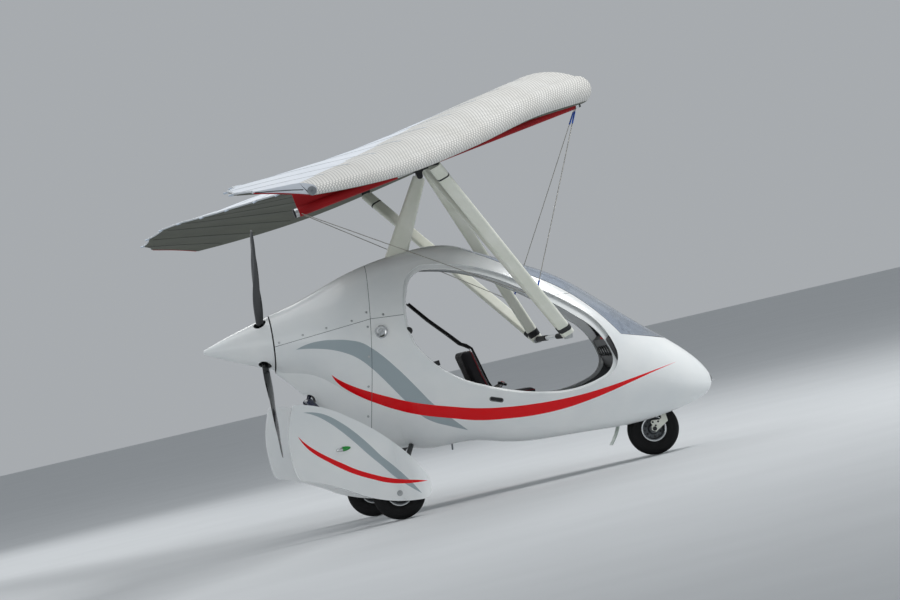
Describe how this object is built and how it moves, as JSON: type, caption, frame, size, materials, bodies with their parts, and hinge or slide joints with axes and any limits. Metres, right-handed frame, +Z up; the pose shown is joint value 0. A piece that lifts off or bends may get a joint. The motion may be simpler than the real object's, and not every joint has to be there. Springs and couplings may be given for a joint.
{
  "type": "microlight aircraft",
  "caption": "Flex-wing microlight aircraft with a faired tandem pod, pusher propeller, steerable nose wheel and a strutted wing hung from its mast.",
  "frame": {"origin": "on the ground, under the middle of the whole aircraft's box", "axes": "+X forward to the nose, +Y to the left wing, +Z up"},
  "size_m": [3.3022, 8.86, 2.6689],
  "materials": {
    "anodised_tube": "satin",
    "black_composite": "gloss",
    "black_plastic": "matte",
    "blue_paint": "satin",
    "cabin_lining": "matte",
    "cast_alloy": "satin",
    "clear_canopy": "gloss",
    "engine_alloy": "matte",
    "green_lens": "gloss",
    "pale_flap": "satin",
    "red_cloth": "satin",
    "red_lens": "gloss",
    "sail_cloth": "satin",
    "seat_cover": "matte",
    "stay_wire": "satin",
    "steel_black": "satin",
    "tyre_rubber": "matte",
    "white_gelcoat": "gloss",
    "white_paint": "gloss"
  },
  "bodies": {
    "trike": {"bulkhead": "cabin_lining", "cabin_floor": "cabin_lining", "cowl_lower": "white_gelcoat", "cowl_upper": "white_gelcoat", "dampers": "blue_paint", "dash": "black_plastic", "engine_block": "engine_alloy", "fuel_cap": "cast_alloy", "gear_legs": "steel_black", "mast": "white_paint", "mud_flap": "pale_flap", "nav_lamp_left": "red_lens", "nav_lamp_right": "green_lens", "pitot_tube": "anodised_tube", "pod_shell": "white_gelcoat", "seat_tub": "cabin_lining", "seats": "seat_cover", "spat_left": "white_gelcoat", "spat_right": "white_gelcoat", "steering_head": "cast_alloy", "windscreen": "clear_canopy"},
    "steering": {"foot_bar": "anodised_tube", "nose_fork": "white_paint"},
    "nose_wheel": {"rim_nose": "cast_alloy", "tyre_nose": "tyre_rubber"},
    "wheel_left": {"rim_left": "cast_alloy", "tyre_left": "tyre_rubber"},
    "wheel_right": {"rim_right": "cast_alloy", "tyre_right": "tyre_rubber"},
    "propeller": {"prop_blades": "black_composite", "prop_hub": "cast_alloy", "spinner": "white_gelcoat"},
    "hang_block": {"hang_block": "steel_black"},
    "wing": {"apex_saddle": "steel_black", "base_bar": "anodised_tube", "corner_fittings": "cast_alloy", "keel_caps": "black_plastic", "keel_pocket": "red_cloth", "keel_tube": "anodised_tube", "sail_left": "sail_cloth", "sail_right": "sail_cloth", "stays": "stay_wire", "strut_brackets": "steel_black", "uprights": "white_paint", "wing_struts": "white_paint"}
  },
  "joints": [
    {"name": "steering_turn", "type": "hinge", "parent": "trike", "child": "steering", "pos_m": [1.229, 0, 0.431], "axis": [0, 0, 1], "range_deg": [-20, 20]},
    {"name": "nose_wheel_spin", "type": "hinge", "parent": "steering", "child": "nose_wheel", "pos_m": [1.174, 0, 0.175], "axis": [0, 1, 0], "continuous": true},
    {"name": "wheel_left_spin", "type": "hinge", "parent": "trike", "child": "wheel_left", "pos_m": [-0.676, 0.8, 0.175], "axis": [0, 1, 0], "continuous": true},
    {"name": "wheel_right_spin", "type": "hinge", "parent": "trike", "child": "wheel_right", "pos_m": [-0.676, -0.8, 0.175], "axis": [0, 1, 0], "continuous": true},
    {"name": "propeller_spin", "type": "hinge", "parent": "trike", "child": "propeller", "pos_m": [-1.202, 0, 1.305], "axis": [-0.996, 0, 0.0889], "continuous": true},
    {"name": "wing_pitch", "type": "hinge", "parent": "trike", "child": "hang_block", "pos_m": [0.021, 0, 2.17], "axis": [0, 1, 0], "range_deg": [-6, 16]},
    {"name": "wing_roll", "type": "hinge", "parent": "hang_block", "child": "wing", "pos_m": [0.01073, 0, 2.23924], "axis": [0.9892, 0, 0.1468], "range_deg": [-10, 10]}
  ]
}
